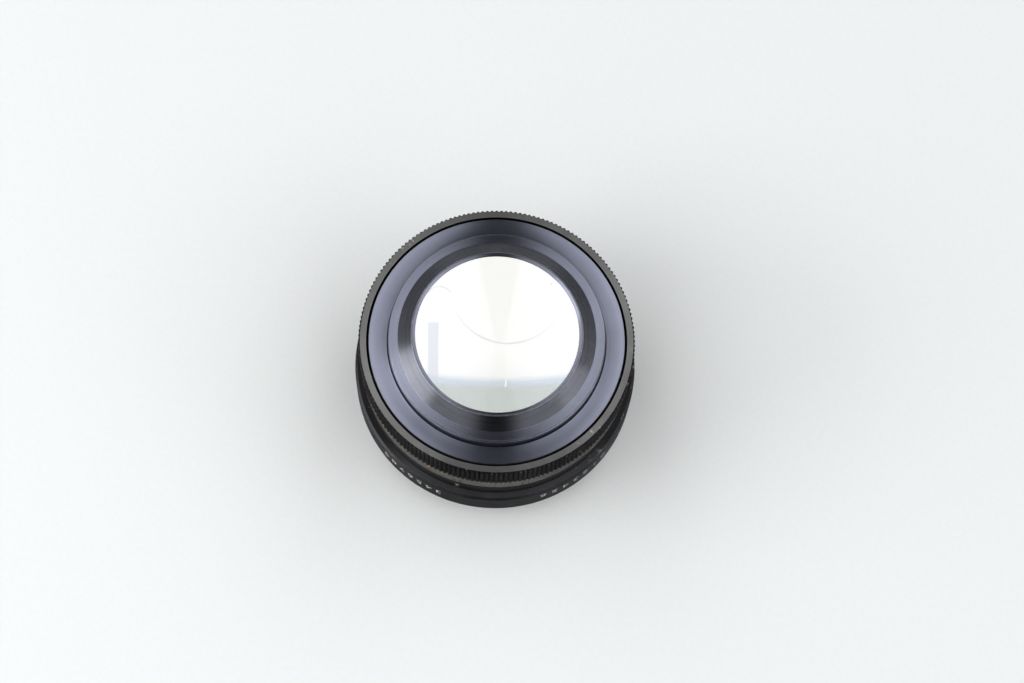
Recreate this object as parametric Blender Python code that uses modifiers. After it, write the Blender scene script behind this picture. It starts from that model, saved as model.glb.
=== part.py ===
"""Enlarger lens with a knurled aperture ring and a nine-bladed iris.

Frame: metres, +Z along the optical axis towards the front glass, origin at the
centre of the threaded boss's rear end face. The index mark is on the -Y side.
Sizes are in millimetres, multiplied by MM where they are used, and angles are
in degrees. Heights count from the seating face (the face that lies on a lens
board), and the helpers lift them by SEAT_Z, so the boss ends at world height 0.
"""
import math

import bmesh
import bpy
from mathutils import Matrix, Vector

MM = 0.001

# ---- dimensions shared between pieces ----------------------------------------
SEAT_Z = 6.0             # height of the seating face above the boss's end
SEG = 48                 # facets of the large turned pieces
SEG_IN = 28              # facets of the inner turned pieces

FACE_Z = 26.0            # front face of the grip ring and the front cell
SLEEVE_R = 28.6          # grip ring's sleeve, which carries the scale
SLEEVE_Z = 12.9          # rear end of the sleeve
BARREL_TOP = 24.1
BARREL_R = 29.6          # smooth band behind the scale
BARREL_WAIST_R = 28.0    # barrel inside the rear collar
COLLAR_Z = (0.0, 8.0)
INNER_RING_R = 26.0      # outside of the rings held in the barrel's iris bore

BLADES = 9
PIVOT_R = 25.0           # radius of the circle of blade pivots
RING_TURN = 66.0         # travel of the aperture ring
BLADE_SWING = 33.0       # swing of a blade over that travel
STUD_POS = (22.9, 18.0)  # driving stud of a blade: radius, angle from its pivot

DRIVE_AZ = 120.0         # pin joining the grip ring to the cam ring
DRIVE_Z = 14.2
DRIVE_HOLE_R = 0.65
SCREW_AZ = (90.0, 210.0, 330.0)
COLLAR_SCREW_Z = 4.0
RING_SCREW_Z = 15.0
RING_SCREW_HOLE_R = 0.85
DETENT_AZ = 60.0         # click stop
DETENT_R = 28.0
INDEX_AZ = 253.5
INDEX_Z = 10.3


# ---- scene set-up ------------------------------------------------------------
for old in list(bpy.data.objects):
    bpy.data.objects.remove(old, do_unlink=True)


def new_collection(name):
    collection = bpy.data.collections.new(name)
    bpy.context.scene.collection.children.link(collection)
    return collection


parts = new_collection("enlarger_lens")
cutters = new_collection("cutters")

# Everything that turns with the aperture ring hangs from this empty.
aperture_axis = bpy.data.objects.new("aperture_axis", None)
parts.objects.link(aperture_axis)


# ---- materials ---------------------------------------------------------------
def material(name, colour, roughness, metallic, alpha=1.0):
    mat = bpy.data.materials.new(name)
    mat.use_nodes = True
    inputs = mat.node_tree.nodes["Principled BSDF"].inputs
    inputs["Base Color"].default_value = (*colour, 1.0)
    inputs["Roughness"].default_value = roughness
    inputs["Metallic"].default_value = metallic
    inputs["Alpha"].default_value = alpha
    mat.diffuse_color = (*colour, alpha)
    return mat


BLACK = material("black_anodised", colour=(0.035, 0.034, 0.038), roughness=0.42, metallic=0.9)
VIOLET = material("violet_black_anodised", colour=(0.060, 0.058, 0.082),
                  roughness=0.33, metallic=0.9)
GRIP = material("grip_anodised", colour=(0.045, 0.045, 0.047), roughness=0.45, metallic=0.9)
SATIN = material("satin_scale", colour=(0.42, 0.42, 0.43), roughness=0.35, metallic=1.0)
SHADE = material("matt_black_inside", colour=(0.012, 0.012, 0.013), roughness=0.75, metallic=0.2)
BLUED = material("blued_blade", colour=(0.028, 0.030, 0.036), roughness=0.55, metallic=0.6)
STEEL = material("steel", colour=(0.50, 0.50, 0.50), roughness=0.30, metallic=1.0)
OLIVE = material("index_paint", colour=(0.30, 0.28, 0.10), roughness=0.5, metallic=0.0)
GLASS = material("coated_glass", colour=(0.86, 0.90, 0.93), roughness=0.02, metallic=0.0,
                 alpha=0.35)


# ---- points in plan ----------------------------------------------------------
def polar(radius, degrees):
    angle = math.radians(degrees)
    return (radius * math.cos(angle), radius * math.sin(angle))


def rotate(x, y, degrees):
    cos, sin = math.cos(math.radians(degrees)), math.sin(math.radians(degrees))
    return (x * cos - y * sin, x * sin + y * cos)


def arc(radius, start, stop, count):
    return [polar(radius, start + (stop - start) * i / (count - 1)) for i in range(count)]


# ---- solids ------------------------------------------------------------------
def place(name, data, mat, collection=parts, parent=None):
    obj = bpy.data.objects.new(name, data)
    collection.objects.link(obj)
    if mat:
        data.materials.append(mat)
    obj.parent = parent
    return obj


def turned(name, profile, mat, steps=SEG, closed=True, parent=None):
    """A turned piece: profile (radius, height) runs down the outside first."""
    mesh = bpy.data.meshes.new(name)
    verts = [(radius * MM, 0.0, (z + SEAT_Z) * MM) for radius, z in profile]
    edges = [(i, i + 1) for i in range(len(verts) - 1)]
    if closed:
        edges.append((len(verts) - 1, 0))
    mesh.from_pydata(verts, edges, [])
    obj = place(name, mesh, mat, parent=parent)
    screw = obj.modifiers.new("turn", "SCREW")
    screw.axis = "Z"
    screw.angle = math.tau
    screw.steps = steps
    screw.render_steps = steps
    screw.use_merge_vertices = True
    screw.merge_threshold = 0.00001
    screw.use_smooth_shade = True
    return obj


def plain_ring(name, outer, bore, low, high, mat=SHADE):
    """A small turned ring of rectangular section."""
    return turned(name, [(outer, high), (outer, low), (bore, low), (bore, high)], mat, SEG_IN)


def plate(name, loops, low, high, mat=None, collection=cutters, parent=None, lift=SEAT_Z):
    """A flat outline with holes, extruded from low to high."""
    curve = bpy.data.curves.new(name, "CURVE")
    curve.dimensions = "2D"
    curve.fill_mode = "BOTH"
    curve.extrude = (high - low) * MM / 2
    for loop in loops:
        spline = curve.splines.new("POLY")
        spline.points.add(len(loop) - 1)
        for point, (x, y) in zip(spline.points, loop):
            point.co = (x * MM, y * MM, 0.0, 1.0)
        spline.use_cyclic_u = True
    flat = bpy.data.objects.new(name + "_outline", curve)
    bpy.context.scene.collection.objects.link(flat)
    flat.location = (0.0, 0.0, ((low + high) / 2 + lift) * MM)
    bpy.context.view_layer.update()
    depsgraph = bpy.context.evaluated_depsgraph_get()
    mesh = bpy.data.meshes.new_from_object(flat.evaluated_get(depsgraph))
    mesh.name = name

    # The curve's caps and walls come unjoined, so they are welded into a solid.
    body = bmesh.new()
    body.from_mesh(mesh)
    bmesh.ops.remove_doubles(body, verts=body.verts, dist=1e-7)
    bmesh.ops.transform(body, matrix=flat.matrix_world, verts=body.verts)
    bmesh.ops.recalc_face_normals(body, faces=body.faces)
    body.to_mesh(mesh)
    body.free()
    bpy.data.objects.remove(flat, do_unlink=True)
    return place(name, mesh, mat, collection, parent)


def solid(name, build, mat=None, collection=cutters, parent=None):
    """An object whose mesh is filled in by build(body)."""
    mesh = bpy.data.meshes.new(name)
    body = bmesh.new()
    build(body)
    body.to_mesh(mesh)
    body.free()
    return place(name, mesh, mat, collection, parent)


def at(x, y, z):
    """Matrix that moves a primitive to a point, heights from the seating face."""
    return Matrix.Translation(Vector((x, y, z + SEAT_Z)) * MM)


def add_cylinder(body, radius, length, matrix, segments=12, radius_top=None):
    bmesh.ops.create_cone(
        body, cap_ends=True, cap_tris=False, segments=segments,
        radius1=radius * MM, radius2=(radius if radius_top is None else radius_top) * MM,
        depth=length * MM, matrix=matrix,
    )


def radial_pins(name, azimuths, radius, r_in, r_out, z, **placing):
    """Cylinders lying along radii, from r_in to r_out, as one object."""
    def build(body):
        for azimuth in azimuths:
            turn = (Matrix.Rotation(math.radians(azimuth), 4, "Z")
                    @ Matrix.Rotation(math.pi / 2, 4, "Y"))
            middle = at(*polar((r_in + r_out) / 2, azimuth), z)
            add_cylinder(body, radius, r_out - r_in, middle @ turn)
    return solid(name, build, **placing)


def screws(prefix, radius, r_in, r_out, z, parent=None):
    for number, azimuth in enumerate(SCREW_AZ, 1):
        radial_pins(f"{prefix}_{number}", (azimuth,), radius, r_in, r_out, z,
                    mat=STEEL, collection=parts, parent=parent)


def boolean(target, tool, operation="DIFFERENCE"):
    modifier = target.modifiers.new(tool.name, "BOOLEAN")
    modifier.operation = operation
    modifier.solver = "EXACT"
    modifier.object = tool
    tool.hide_render = True
    tool.display_type = "WIRE"


# ---- fixed barrel ------------------------------------------------------------
BARREL_BAND_Z = (8.3, 12.4)
BARREL_NECK_R = 27.1     # inside the grip ring
IRIS_BORE = 26.3
BOSS_R = 24.9            # thread outside radius, nominal 50 mm diameter
BOSS_Z = -SEAT_Z
BOSS_RELIEF_R = BOSS_R - 0.7
REAR_BORE = 22.3

WINDOW_R = (25.6, 27.8)  # slot through the neck for the drive pin
WINDOW_HALF_HEIGHT = 0.8
WINDOW_MARGIN = 2.5      # extra angle at each end of the pin's travel
DETENT_BORE_R = 0.95
DETENT_BORE_Z = 9.2      # floor of the bore
DETENT_BORE_DEPTH = 3.6

COLLAR_R = 31.3
COLLAR_BORE = 28.3


def build_main_barrel():
    band_low, band_high = BARREL_BAND_Z
    barrel = turned("main_barrel", [
        (BARREL_NECK_R - 0.2, BARREL_TOP), (BARREL_NECK_R, BARREL_TOP - 0.2),
        (BARREL_NECK_R, band_high),
        (BARREL_R - 0.25, band_high), (BARREL_R, band_high - 0.25),
        (BARREL_R, band_low),
        (BARREL_WAIST_R, band_low), (BARREL_WAIST_R, COLLAR_Z[0]),
        (BOSS_RELIEF_R, COLLAR_Z[0]), (BOSS_RELIEF_R, -0.7), (BOSS_R, -1.1),
        (BOSS_R, BOSS_Z + 0.5), (BOSS_R - 0.5, BOSS_Z),
        (REAR_BORE, BOSS_Z), (REAR_BORE, SLEEVE_Z),
        (IRIS_BORE, SLEEVE_Z), (IRIS_BORE, BARREL_TOP),
    ], BLACK)

    start, stop = DRIVE_AZ - WINDOW_MARGIN, DRIVE_AZ + RING_TURN + WINDOW_MARGIN
    window = arc(WINDOW_R[0], start, stop, 13) + arc(WINDOW_R[1], stop, start, 13)
    boolean(barrel, plate("drive_window_cutter", [window],
                          DRIVE_Z - WINDOW_HALF_HEIGHT, DRIVE_Z + WINDOW_HALF_HEIGHT))

    def detent_bore(body):
        middle = at(*polar(DETENT_R, DETENT_AZ), DETENT_BORE_Z + DETENT_BORE_DEPTH / 2)
        add_cylinder(body, DETENT_BORE_R, DETENT_BORE_DEPTH, middle, 14)

    boolean(barrel, solid("detent_bore_cutter", detent_bore))
    boolean(barrel, radial_pins("index_bore_cutter", (INDEX_AZ,), 0.75, 28.6, 30.2, INDEX_Z))


def build_rear_collar():
    low, high = COLLAR_Z
    collar = turned("rear_collar", [
        (COLLAR_R - 0.5, high), (COLLAR_R, high - 0.5),
        (COLLAR_R, low + 0.4), (COLLAR_R - 0.4, low),
        (COLLAR_BORE, low), (COLLAR_BORE, high),
    ], BLACK)
    boolean(collar, radial_pins("collar_screw_cutter", SCREW_AZ, 1.0, 27.8, 32.0,
                                COLLAR_SCREW_Z))
    screws("collar_screw", 0.7, 28.35, 30.75, COLLAR_SCREW_Z)


def build_index_mark():
    radial_pins("index_mark", (INDEX_AZ,), 0.45, 28.9, BARREL_R, INDEX_Z,
                mat=OLIVE, collection=parts)


# ---- aperture ring: grip, scale, screws, driving pin -------------------------
GRIP_FACE_R = 29.35      # outer edge of the flat front face
GRIP_EDGE_R = 29.55      # plain edge in front of the knurl
GRIP_CORE_R = 29.3       # metal under the knurl
GRIP_CORE_Z = (17.7, 25.0)
GRIP_BORE = 27.4
GRIP_MOUTH = 28.2

KNURL_R = 30.0           # tip radius
KNURL_ROOT = 29.6
KNURL_BORE = 28.95       # sunk into the core so that the two join
KNURL_TEETH = 180
KNURL_Z = (17.5, 25.4)

STOPS = 6                # click stops over the ring's travel

SCALE_R = 29.6
SCALE_Z = (12.75, 17.2)
SCALE_BORE = SLEEVE_R + 0.3
SCALE_CHAMFER = 0.15


def knurl_band():
    pitch = 360.0 / KNURL_TEETH
    star = []
    for tooth in range(KNURL_TEETH):
        star.append(polar(KNURL_R, tooth * pitch))
        star.append(polar(KNURL_ROOT, (tooth + 0.5) * pitch))
    return plate("knurl_band", [star, arc(KNURL_BORE, 0, 360.0 - 360.0 / SEG, SEG)], *KNURL_Z)


def detent_notches(body):
    """One tapered notch under the sleeve for each aperture stop."""
    for stop in range(STOPS):
        azimuth = DETENT_AZ - RING_TURN * stop / (STOPS - 1)
        add_cylinder(body, 0.75, 0.8, at(*polar(DETENT_R, azimuth), SLEEVE_Z),
                     segments=10, radius_top=0.15)


def build_grip_ring():
    core_low, core_high = GRIP_CORE_Z
    grip = turned("grip_ring", [
        (GRIP_FACE_R, FACE_Z), (GRIP_EDGE_R, FACE_Z - 0.2), (GRIP_EDGE_R, core_high),
        (GRIP_CORE_R, core_high), (GRIP_CORE_R, core_low),
        (SLEEVE_R, core_low), (SLEEVE_R, SLEEVE_Z), (GRIP_BORE, SLEEVE_Z),
        (GRIP_BORE, BARREL_TOP), (GRIP_MOUTH, BARREL_TOP), (GRIP_MOUTH, FACE_Z),
    ], GRIP, parent=aperture_axis)
    boolean(grip, knurl_band(), "UNION")
    boolean(grip, radial_pins("sleeve_screw_cutter", SCREW_AZ, RING_SCREW_HOLE_R,
                              27.9, 29.2, RING_SCREW_Z))
    boolean(grip, radial_pins("sleeve_drive_cutter", (DRIVE_AZ,), DRIVE_HOLE_R,
                              27.0, 29.2, DRIVE_Z))
    boolean(grip, solid("detent_notch_cutter", detent_notches))


def build_scale_ring():
    low, high = SCALE_Z
    scale = turned("scale_ring", [
        (SCALE_R - SCALE_CHAMFER, high), (SCALE_R, high - SCALE_CHAMFER),
        (SCALE_R, low + SCALE_CHAMFER), (SCALE_R - SCALE_CHAMFER, low),
        (SCALE_BORE, low), (SCALE_BORE, high),
    ], SATIN, parent=aperture_axis)
    boolean(scale, radial_pins("scale_screw_cutter", SCREW_AZ, RING_SCREW_HOLE_R,
                               28.2, 30.2, RING_SCREW_Z))
    screws("ring_screw", 0.6, 28.1, 29.4, RING_SCREW_Z, parent=aperture_axis)


def build_drive_pin():
    radial_pins("drive_pin", (DRIVE_AZ,), 0.45, 24.8, 28.4, DRIVE_Z,
                mat=STEEL, collection=parts, parent=aperture_axis)


# ---- cam ring ----------------------------------------------------------------
CAM_TOP_R = 23.9         # upper step, inside the pivot ring
CAM_BORE = 17.7
CAM_LOW, CAM_STEP, CAM_TOP = 13.2, 15.2, 16.75
SLOT_HALF = 0.6          # half the width of a cam slot
SLOT_MARGIN = 1.2        # extra ring angle at each end of a slot
SLOT_Z = (12.6, 17.4)


def stud_track(count=13):
    """Path of blade one's driving stud seen from the turning cam ring."""
    stud_x, stud_y = polar(*STUD_POS)
    track = []
    for i in range(count):
        turn = -SLOT_MARGIN + (RING_TURN + 2 * SLOT_MARGIN) * i / (count - 1)
        swing = turn * BLADE_SWING / RING_TURN
        x, y = rotate(stud_x - PIVOT_R, stud_y, swing)
        track.append(rotate(PIVOT_R + x, y, -turn))
    return track


def slot_outline(track, half):
    """The track widened by half each side, with rounded ends."""
    left, right = [], []
    for i, (x, y) in enumerate(track):
        before, after = track[max(i - 1, 0)], track[min(i + 1, len(track) - 1)]
        along_x, along_y = after[0] - before[0], after[1] - before[1]
        length = math.hypot(along_x, along_y)
        normal_x, normal_y = -along_y / length, along_x / length
        left.append((x + normal_x * half, y + normal_y * half))
        right.append((x - normal_x * half, y - normal_y * half))

    def cap(end, inward):
        heading = math.atan2(end[1] - inward[1], end[0] - inward[0])
        angles = [heading + math.radians(offset) for offset in (45, 0, -45)]
        return [(end[0] + half * math.cos(angle), end[1] + half * math.sin(angle))
                for angle in angles]

    return left + cap(track[-1], track[-2]) + right[::-1] + cap(track[0], track[1])


def build_cam_ring():
    cam = turned("cam_ring", [
        (CAM_TOP_R, CAM_TOP), (CAM_TOP_R, CAM_STEP), (INNER_RING_R, CAM_STEP),
        (INNER_RING_R, CAM_LOW), (CAM_BORE, CAM_LOW), (CAM_BORE, CAM_TOP),
    ], SHADE, SEG_IN, parent=aperture_axis)
    slot = slot_outline(stud_track(), SLOT_HALF)
    for n in range(BLADES):
        outline = [rotate(x, y, 360.0 * n / BLADES) for x, y in slot]
        boolean(cam, plate(f"cam_slot_cutter_{n + 1}", [outline], *SLOT_Z))
    boolean(cam, radial_pins("cam_drive_cutter", (DRIVE_AZ,), DRIVE_HOLE_R,
                             24.5, 26.6, DRIVE_Z))


# ---- iris --------------------------------------------------------------------
APERTURE_OPEN = 17.5     # inner edge of the blades
BLADE_OUT = 25.3
BLADE_T = 0.06
BLADE_END = 90.0         # arc covered by a blade
BLADE_EYE_R = 0.95       # rounded end about the pivot
PIVOT_Z = 17.05          # blade mid-plane at its pivot
BLADE_SLOPE = polar(0.07, 148.0)  # rise per mm and its direction from the pivot's
                                  # radius; keeps the overlapping blades apart
STUD_R = 0.4
STUD_LOW_Z = 15.75
STUD_PROUD = 0.05        # stud end above the blade's mid-plane


def build_pivot_ring():
    ring = plain_ring("pivot_ring", INNER_RING_R, 24.2, low=15.5, high=16.8)

    def pivot_holes(body):
        for n in range(BLADES):
            add_cylinder(body, 0.6, 2.4, at(*polar(PIVOT_R, 360.0 * n / BLADES), 16.15), 10)

    boolean(ring, solid("pivot_hole_cutter", pivot_holes))


def blade_outline():
    """Outline of blade one: inner edge, rounded tip, outer edge, pivot end."""
    points = arc(APERTURE_OPEN, 12.0, BLADE_END - 1.5, 11)
    points += [polar(18.5, BLADE_END + 1.2), polar(21.4, BLADE_END + 2.4),
               polar(24.3, BLADE_END + 1.2)]
    points += arc(BLADE_OUT, BLADE_END - 1.5, 4.0, 10)
    for angle in (55, 15, -25, -65, -105):
        x, y = polar(BLADE_EYE_R, angle)
        points.append((PIVOT_R + x, y))
    return points


def blade_rise(x, y):
    """Height of a blade's mid-plane at a point counted from its pivot."""
    return BLADE_SLOPE[0] * x + BLADE_SLOPE[1] * y


def blade_studs(body):
    """Pivot stud and driving stud, in the blade's own frame."""
    low = STUD_LOW_Z - PIVOT_Z
    for stud_x, y in ((PIVOT_R, 0.0), polar(*STUD_POS)):
        x = stud_x - PIVOT_R
        top = blade_rise(x, y) + STUD_PROUD
        add_cylinder(body, STUD_R, top - low,
                     Matrix.Translation(Vector((x, y, (top + low) / 2)) * MM), 10)


def build_blades():
    outline = [(x - PIVOT_R, y) for x, y in blade_outline()]
    for n in range(BLADES):
        angle = 360.0 * n / BLADES
        pivot = bpy.data.objects.new(f"blade_pivot_{n + 1}", None)
        parts.objects.link(pivot)
        x, y = polar(PIVOT_R, angle)
        pivot.location = (x * MM, y * MM, (PIVOT_Z + SEAT_Z) * MM)
        pivot.rotation_euler = (0.0, 0.0, math.radians(angle))

        blade = plate(f"iris_blade_{n + 1}", [outline], -BLADE_T / 2, BLADE_T / 2,
                      BLUED, parts, pivot, lift=0.0)
        for vert in blade.data.vertices:
            vert.co.z += blade_rise(vert.co.x, vert.co.y)
        boolean(blade, solid(f"blade_studs_{n + 1}", blade_studs, parent=pivot), "UNION")


def build_iris_cover():
    plain_ring("iris_cover", INNER_RING_R, 18.0, low=20.0, high=20.6)


# ---- click stop --------------------------------------------------------------
BALL_R = 0.65
BALL_Z = 12.05
COIL_TURNS = 4
COIL_PER_TURN = 8        # points in each turn
COIL_R = 0.62
COIL_WIRE_R = 0.11
COIL_Z = (9.45, 11.1)


def build_detent_ball():
    def ball(body):
        bmesh.ops.create_uvsphere(body, u_segments=10, v_segments=6, radius=BALL_R * MM,
                                  matrix=at(*polar(DETENT_R, DETENT_AZ), BALL_Z))

    solid("detent_ball", ball, STEEL, parts)


def build_detent_spring():
    coil = bpy.data.curves.new("detent_spring", "CURVE")
    coil.dimensions = "3D"
    coil.bevel_depth = COIL_WIRE_R * MM
    coil.bevel_resolution = 1
    coil.use_fill_caps = True
    spline = coil.splines.new("POLY")
    spans = COIL_TURNS * COIL_PER_TURN
    spline.points.add(spans)
    centre_x, centre_y = polar(DETENT_R, DETENT_AZ)
    for i, point in enumerate(spline.points):
        x, y = polar(COIL_R, 360.0 * i / COIL_PER_TURN)
        z = COIL_Z[0] + (COIL_Z[1] - COIL_Z[0]) * i / spans
        point.co = ((centre_x + x) * MM, (centre_y + y) * MM, (z + SEAT_Z) * MM, 1.0)
    place("detent_spring", coil, STEEL)


# ---- lens elements -----------------------------------------------------------
LENS_RINGS = 3           # steps from the axis to the edge of a lens surface


def sag(radius, curve):
    """Depth of a spherical surface at a radius, with the sign of its curve."""
    size = abs(curve)
    return math.copysign(size - math.sqrt(size * size - radius * radius), curve)


def lens(name, edge_r, front_apex, front_curve, rear_apex, rear_curve):
    """A glass element, outlined from the front apex over the edge to the rear apex.

    A positive curve bulges outwards and a negative one is hollow.
    """
    radii = [edge_r * i / LENS_RINGS for i in range(LENS_RINGS + 1)]
    front = [(radius, front_apex - sag(radius, front_curve)) for radius in radii]
    rear = [(radius, rear_apex + sag(radius, rear_curve)) for radius in reversed(radii)]
    turned(name, front + rear, GLASS, SEG_IN, closed=False)


# ---- front group -------------------------------------------------------------
CELL_R = 27.85           # wide dished ring
CELL_BORE = 23.8
FRONT_REAR_Z = 20.9      # rear end of the cell, the nose and the retaining ring
NOSE_R = 23.5            # boss standing out of the dish
NOSE_FACE_Z = 28.4
NOSE_RIM = (18.55, 30.6)
NOSE_LIP_R = 17.7
NOSE_BORE = 19.3
FRONT_LENS_R = 19.0
FRONT_RING_BORE = 17.9


def build_front_group():
    turned("front_cell", [
        (CELL_R - 0.2, FACE_Z), (CELL_R, FACE_Z - 0.2), (CELL_R, 24.4),
        (INNER_RING_R, 24.4), (INNER_RING_R, FRONT_REAR_Z),
        (CELL_BORE, FRONT_REAR_Z), (CELL_BORE, 25.1),
    ], VIOLET)
    turned("front_nose", [
        NOSE_RIM, (21.4, NOSE_FACE_Z + 0.05),
        (NOSE_R - 0.15, NOSE_FACE_Z), (NOSE_R, NOSE_FACE_Z - 0.2),
        (NOSE_R, FRONT_REAR_Z), (NOSE_BORE, FRONT_REAR_Z), (NOSE_BORE, 29.4),
        (NOSE_LIP_R, 29.9), (NOSE_LIP_R, 30.35),
    ], VIOLET)
    lens("front_element", FRONT_LENS_R,
         front_apex=32.2, front_curve=60.0, rear_apex=26.4, rear_curve=400.0)
    plain_ring("front_spacer", FRONT_LENS_R, FRONT_RING_BORE, low=24.9, high=26.0)
    lens("front_inner_element", FRONT_LENS_R,
         front_apex=24.5, front_curve=300.0, rear_apex=22.9, rear_curve=-180.0)
    plain_ring("front_retaining_ring", FRONT_LENS_R, FRONT_RING_BORE,
               low=FRONT_REAR_Z, high=21.5)


# ---- rear group --------------------------------------------------------------
REAR_CELL_R = 22.0
REAR_CELL_BORE = 18.3
REAR_CELL_LIP_R = 16.8
REAR_CELL_Z = (-5.0, 12.7)
REAR_LENS_R = 18.0
REAR_RING_BORE = 17.0


def build_rear_group():
    low, high = REAR_CELL_Z
    turned("rear_cell", [
        (REAR_CELL_R, high), (REAR_CELL_R, low), (REAR_CELL_LIP_R, low),
        (REAR_CELL_LIP_R, -4.5), (REAR_CELL_BORE, -3.3), (REAR_CELL_BORE, high),
    ], SHADE)
    lens("rear_inner_element", REAR_LENS_R,
         front_apex=10.0, front_curve=-120.0, rear_apex=7.4, rear_curve=300.0)
    plain_ring("rear_spacer", REAR_LENS_R, REAR_RING_BORE, low=3.2, high=6.9)
    lens("rear_element", REAR_LENS_R,
         front_apex=2.9, front_curve=300.0, rear_apex=-5.2, rear_curve=75.0)
    plain_ring("rear_retaining_ring", REAR_LENS_R, REAR_RING_BORE, low=11.9, high=12.6)
    plain_ring("rear_lock_ring", REAR_CELL_R, 19.5, low=-5.9, high=-5.3, mat=BLACK)


def smooth_parts():
    """Smooth shading on every mesh part but the flat blades."""
    for obj in parts.objects:
        if obj.type == "MESH" and not obj.name.startswith("iris_blade"):
            for polygon in obj.data.polygons:
                polygon.use_smooth = True


build_main_barrel()
build_rear_collar()
build_index_mark()
build_grip_ring()
build_scale_ring()
build_drive_pin()
build_cam_ring()
build_pivot_ring()
build_blades()
build_iris_cover()
build_detent_ball()
build_detent_spring()
build_front_group()
build_rear_group()
smooth_parts()
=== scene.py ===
"""Looks of an enlarger lens: turned surfaces, knurl, thread, engraved scales, glass and light.

The optical axis is Z. The seating face points down, the front glass up, and the index mark lies
on the -Y side, towards the camera. Sizes are in mm and angles in degrees unless noted; heights
are counted up from the seating face. Material coordinates are in metres.
"""
import math

import bmesh
import bpy
from mathutils import Matrix, Vector


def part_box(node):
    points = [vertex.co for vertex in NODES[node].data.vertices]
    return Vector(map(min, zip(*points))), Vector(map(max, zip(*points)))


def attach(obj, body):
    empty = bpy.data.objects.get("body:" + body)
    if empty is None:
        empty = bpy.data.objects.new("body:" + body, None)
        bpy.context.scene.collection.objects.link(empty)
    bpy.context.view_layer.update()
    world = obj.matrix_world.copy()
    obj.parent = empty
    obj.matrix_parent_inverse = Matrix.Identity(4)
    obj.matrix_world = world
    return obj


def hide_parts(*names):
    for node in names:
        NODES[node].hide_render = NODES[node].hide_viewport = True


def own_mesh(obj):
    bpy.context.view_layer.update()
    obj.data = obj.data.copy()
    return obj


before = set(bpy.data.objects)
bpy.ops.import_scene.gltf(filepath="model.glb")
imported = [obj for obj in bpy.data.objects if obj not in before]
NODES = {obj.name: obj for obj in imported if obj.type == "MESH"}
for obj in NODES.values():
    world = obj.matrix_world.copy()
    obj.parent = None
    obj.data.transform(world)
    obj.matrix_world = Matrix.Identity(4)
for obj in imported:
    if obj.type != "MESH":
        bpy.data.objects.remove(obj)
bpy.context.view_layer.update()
MM = 0.001


# Frame heights of the two reference faces
FACE_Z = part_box("grip_ring")[1].z / MM        # front face of the aperture ring
SEAT_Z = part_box("rear_collar")[0].z / MM      # seating face, the zero of all heights below

# ------------------------------------------------------------------ driving dimensions
FACE_HEIGHT = 26.0            # front rim of the aperture ring and the front cell
COLLAR_R = 31.3
FLANGE_R = 29.6               # barrel flange that carries the index
SCALE_R = 29.6
BOSS_R = 24.9                 # threaded boss below the seat

THREAD_PITCH = 0.9
THREAD_DEPTH = 0.46
THREAD_LOW, THREAD_HIGH = -5.75, -1.0
THREAD_RUNOUT = 0.5

KNURL_TEETH = 180
POINTS_PER_TOOTH = 8
KNURL_LOW, KNURL_HIGH = 17.5, 25.99
KNURL_TIP_R = 30.0
KNURL_DEPTH = 0.44
KNURL_VALLEY_R = KNURL_TIP_R - KNURL_DEPTH

SCREW_ANGLES = (90.0, 210.0, 330.0)
COLLAR_SCREW_HEIGHT = 4.0
RING_SCREW_HEIGHT = 15.0
PIN_ANGLE, PIN_HEIGHT = 120.0, 14.2           # drive pin
INDEX_ANGLE, INDEX_HEIGHT = 253.5, 10.3

STOP_COUNT = 6
STOP_TRAVEL = 66.0                            # turn from the first stop to the last
STOP_STEP = STOP_TRAVEL / (STOP_COUNT - 1)
CLICK_R, CLICK_ANGLE = 28.0, 60.0             # click ball and its spring

BLADE_COUNT = 9
PIVOT_R, PIVOT_HEIGHT = 25.0, 17.05

FILLET_STEPS = 4
FILLET_GUARD = 0.035          # distance from a fillet to the extra loop beside it
SHARP_ANGLE = 38.0


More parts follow.
